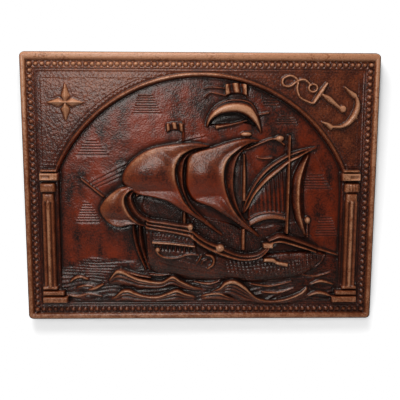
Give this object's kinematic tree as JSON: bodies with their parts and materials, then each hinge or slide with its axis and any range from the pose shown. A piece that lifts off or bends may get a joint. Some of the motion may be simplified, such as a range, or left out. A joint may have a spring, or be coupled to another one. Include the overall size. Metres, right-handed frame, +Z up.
{
  "type": "decorative wall plaque",
  "caption": "Rectangular moulded leather wall plaque: a galleon in full sail on a rough sea, under an arch on two columns, inside a beaded border.",
  "frame": {"origin": "centre of the flat back, on the wall", "axes": "+Z up, +X to the viewer's right, the pictured face towards -Y and the back towards +Y"},
  "size_m": [0.42, 0.024, 0.32],
  "materials": {
    "leather": "antiqued tan leather, dark stain in the hollows, rubbed high spots, glossy wax"
  },
  "bodies": {
    "root": {"relief_panel": "leather"}
  },
  "joints": []
}
